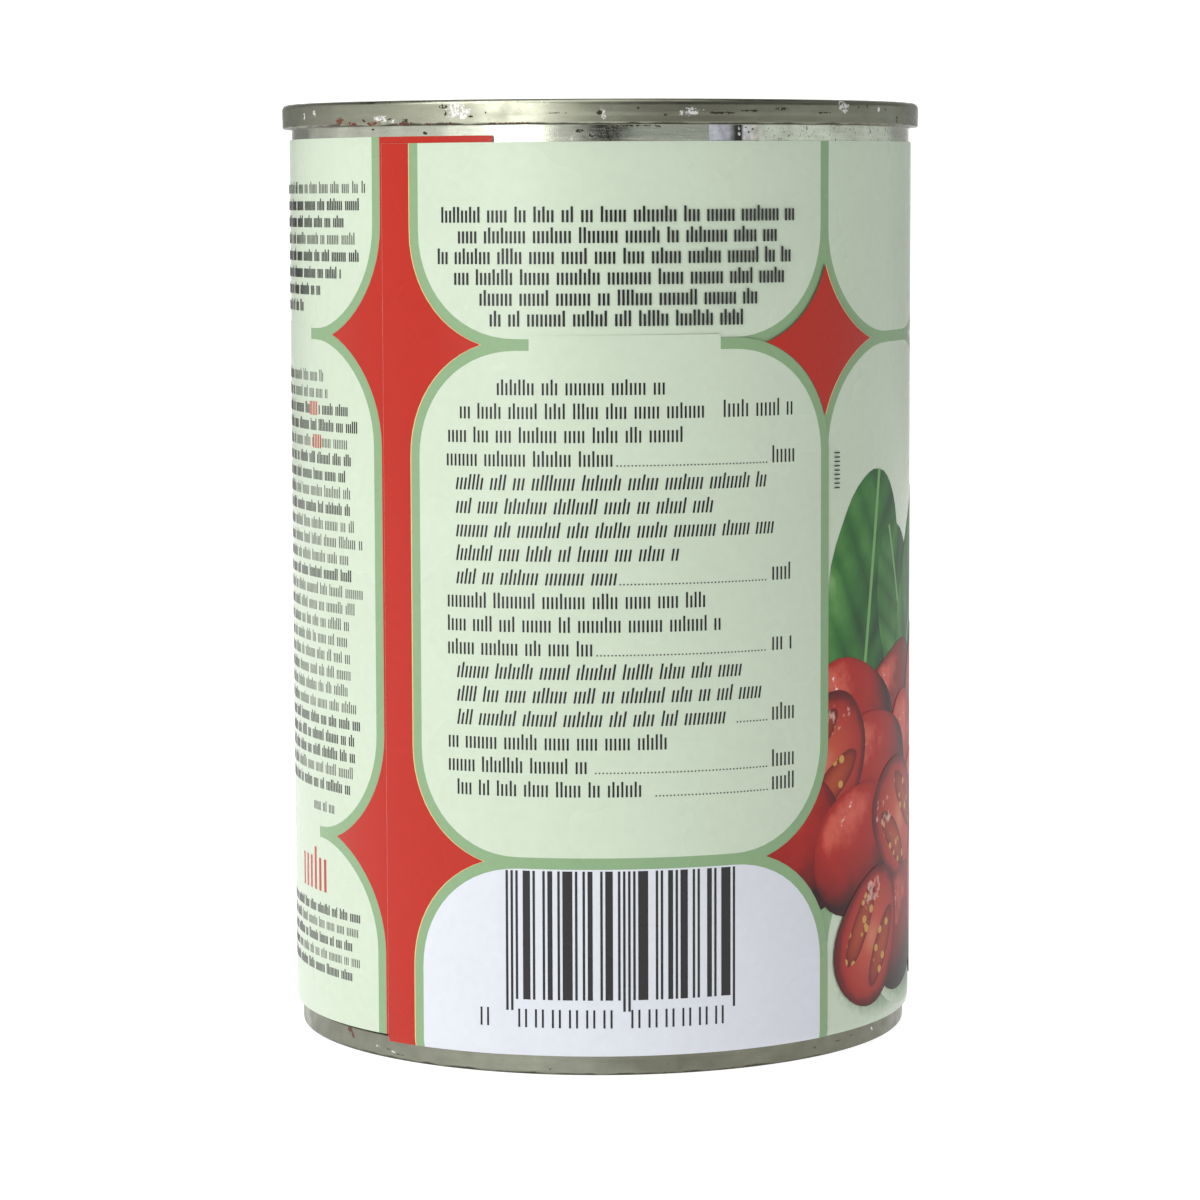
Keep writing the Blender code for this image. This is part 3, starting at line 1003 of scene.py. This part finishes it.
def printed_flesh(name):
    """Cut tomato in print: a pale core, red walls, and two pockets of dark gel with seeds."""
    material, tree, shader, chart, place = offset_ink(name)
    lit, far = printed_light(tree, chart)
    across, along, _ = add_node(tree, "SeparateXYZ", [chart]).outputs
    from_middle = add_node(tree, "Math", [across], operation="ABSOLUTE")
    pocket_across = add_node(tree, "Math", [from_middle, 4.0, -1.68], operation="MULTIPLY_ADD")
    pocket_along = add_node(tree, "Math", [along, 0.62], operation="DIVIDE")
    pocket_far = add_node(tree, "Math", [
        pocket_across, pocket_across,
        add_node(tree, "Math", [pocket_along, pocket_along], operation="MULTIPLY"),
    ], operation="MULTIPLY_ADD")
    wobbled = wavered(tree, pocket_far, place, 500.0, 0.4)
    walls = add_node(tree, "ValToRGB", [wavered(tree, far, place, 500.0, 0.12)], stops=(
        (0.0, "cf7a5c"), (0.3, "bd4a34"), (0.72, "ab2f22"), (0.86, "9c231a"),
        (0.92, "741410"), (1.0, "560e0c"),
    ))
    gel = add_node(tree, "ValToRGB", [wobbled], stops=(
        (0.0, "a84424"), (0.6, "8c2714"), (0.95, "63140e"), (1.0, "741b12"),
    ))
    seeds = add_node(tree, "TexVoronoi", {"Vector": place, "Scale": 620.0})
    seeded_gel = lay_over(tree, gel, linear("c4974c"), seeds, 0.34, 0.24)
    colour = lay_over(tree, walls, seeded_gel, wobbled, 1.08, 0.92)
    gleam = wavered(tree, lit, place, 1000.0, 0.5)
    colour = lay_over(tree, colour, linear("ecc0b0"), gleam, 0.98, 1.06, 0.6)
    plug(tree, shader, {"Base Color": colour})
    return material


def printed_leaf(name):
    """A basil leaf in print: puffed up between slanting veins, with a pale rib down its middle."""
    material, tree, shader, chart, place = offset_ink(name)
    across, along, _ = add_node(tree, "SeparateXYZ", [chart]).outputs
    from_rib = add_node(tree, "Math", [across], operation="ABSOLUTE")
    puff = add_node(tree, "Math", [from_rib, -0.75, along], operation="MULTIPLY_ADD")
    for operation, number in (("MULTIPLY", 2.3), ("FRACT", 0.0), ("MULTIPLY", math.pi), ("SINE", 0.0)):
        puff = add_node(tree, "Math", [puff, number], operation=operation)
    near_light = add_node(tree, "Math", [across, -0.2, 0.30], operation="MULTIPLY_ADD")
    tone = add_node(tree, "Math", [puff, 0.2, near_light], operation="MULTIPLY_ADD")
    colour = add_node(tree, "ValToRGB", [wavered(tree, tone, place, 170.0, 0.8, 5.0)], stops=(
        (0.0, "11301a"), (0.3, "1d4d23"), (0.55, "306d2e"), (0.78, "518a42"), (1.0, "98bd80"),
    ))
    colour = lay_over(tree, colour, linear("75a764"), from_rib, 0.05, 0.02)
    plug(tree, shader, {"Base Color": colour})
    return material


def printed_shadow(name):
    """The soft shade under the heap: grey green that fades into the panel's own colour."""
    material, tree, shader, chart, place = offset_ink(name)
    _, far = printed_light(tree, chart)
    colour = add_node(tree, "ValToRGB", [wavered(tree, far, place, 1500.0, 0.35, 2.0)], stops=(
        (0.0, "4e5f48"), (0.45, "73876f"), (0.75, "a2b59b"), (0.92, "bfcdb7"), (1.0, "c6d3be"),
    ))
    plug(tree, shader, {"Base Color": colour})
    return material


def add_print_shapes(name, shapes, level, material):
    """One layer of printed shapes, each an outline and its print map."""
    piece = flat_field([outline for outline, chart in shapes], name)
    layer = piece.data.uv_layers.new(name="print_map")
    corners = [corner for outline, chart in shapes for corner in chart]
    for loop in piece.data.loops:
        layer.data[loop.index].uv = corners[loop.vertex_index]
    finish_print(piece, level, material)


skin = printed_skin("printed_tomato_skin", "300505", "620c0a", "96160f", "ac2014")
shaded_skin = printed_skin("printed_shaded_skin", "1e0404", "430908", "6c100c", "86170f")
flesh = printed_flesh("printed_tomato_flesh")
leaf = printed_leaf("printed_leaf")
shadow = printed_shadow("printed_shadow")
PICTURE_STEP = 0.5
picture_rng = random.Random(5)
picture_level = 3.0
for first in (0, 1):
    shadows = [oval(40 + 9.0 * k, 8.2, 10.5, 5.2, 0) for k in range(first, 12, 2)]
    add_print_shapes(f"print_shadow_{first + 1}", shadows, picture_level, shadow)
    picture_level += PICTURE_STEP
leaf_layers = [[], [], []]
for k in range(13):
    lean = (-10, 14, -24)[k % 3] + picture_rng.uniform(-6, 6)
    x = 36.5 + 8.9 * k + picture_rng.uniform(-1.0, 1.0)
    z = (52.0, 48.5, 51.5)[k % 3] + picture_rng.uniform(-1.5, 1.5)
    wide = (8.4, 6.6, 7.4)[k % 3]
    leaf_layers[k % 3].append(oval(x, z, wide, wide * 1.75, lean, 0.06, 0.12, 0.015, 0.9))
for k, layer in enumerate(leaf_layers):
    add_print_shapes(f"print_leaves_{k + 1}", layer, picture_level, leaf)
    picture_level += PICTURE_STEP

# A deep red field behind the heap shows in its gaps.
picture_middle = (column_lines[2] + column_lines[3]) / 2
backing = rectangle(36.0, 2 * picture_middle - 36.0, 19.0, 36.0)
deep_red_ink = coated_paper("deep_red_ink", "3f0c0a")
finish_print(flat_field([backing], "print_heap_backing"), picture_level, deep_red_ink)
picture_level += PICTURE_STEP
heap_finishes = {"half": flesh, "whole": skin, "shaded": shaded_skin}
heap_rows = ((39.0, 33.0, 11), (32.5, 28.5, 12), (24.5, 24.0, 13), (14.0, 37.5, 11))
for row, (z, first, count) in enumerate(heap_rows):
    layers = {(kind, odd): [] for kind in ("shaded", "whole", "half") for odd in (0, 1)}
    spacing = 2 * (picture_middle - first) / (count - 1)
    for k in range(count):
        x = first + spacing * k + picture_rng.uniform(-1.0, 1.0)
        turn = picture_rng.uniform(-75, 75)
        wide = picture_rng.uniform(6.4, 7.6)
        kind = "half" if (k + 2 * row) % 4 == 2 else "whole"
        if kind == "whole" and (row + k) % 3 == 1:
            kind = "shaded"
        tall = wide * (1.2 if kind == "half" else 1.34)
        fruit_height = z + picture_rng.uniform(-1.6, 1.6)
        fullness = picture_rng.uniform(0.8, 1.0)
        outline, chart = oval(x, fruit_height, wide, tall, turn, 0.08, square=fullness, uneven=0.035)
        if kind != "half":
            chart = turned_chart(chart, turn)
        layers[kind, k % 2].append((outline, chart))
    for (kind, odd), shapes in layers.items():
        if shapes:
            layer_name = f"print_tomatoes_{row + 1}_{kind}_{odd + 1}"
            add_print_shapes(layer_name, shapes, picture_level, heap_finishes[kind])
            picture_level += PICTURE_STEP
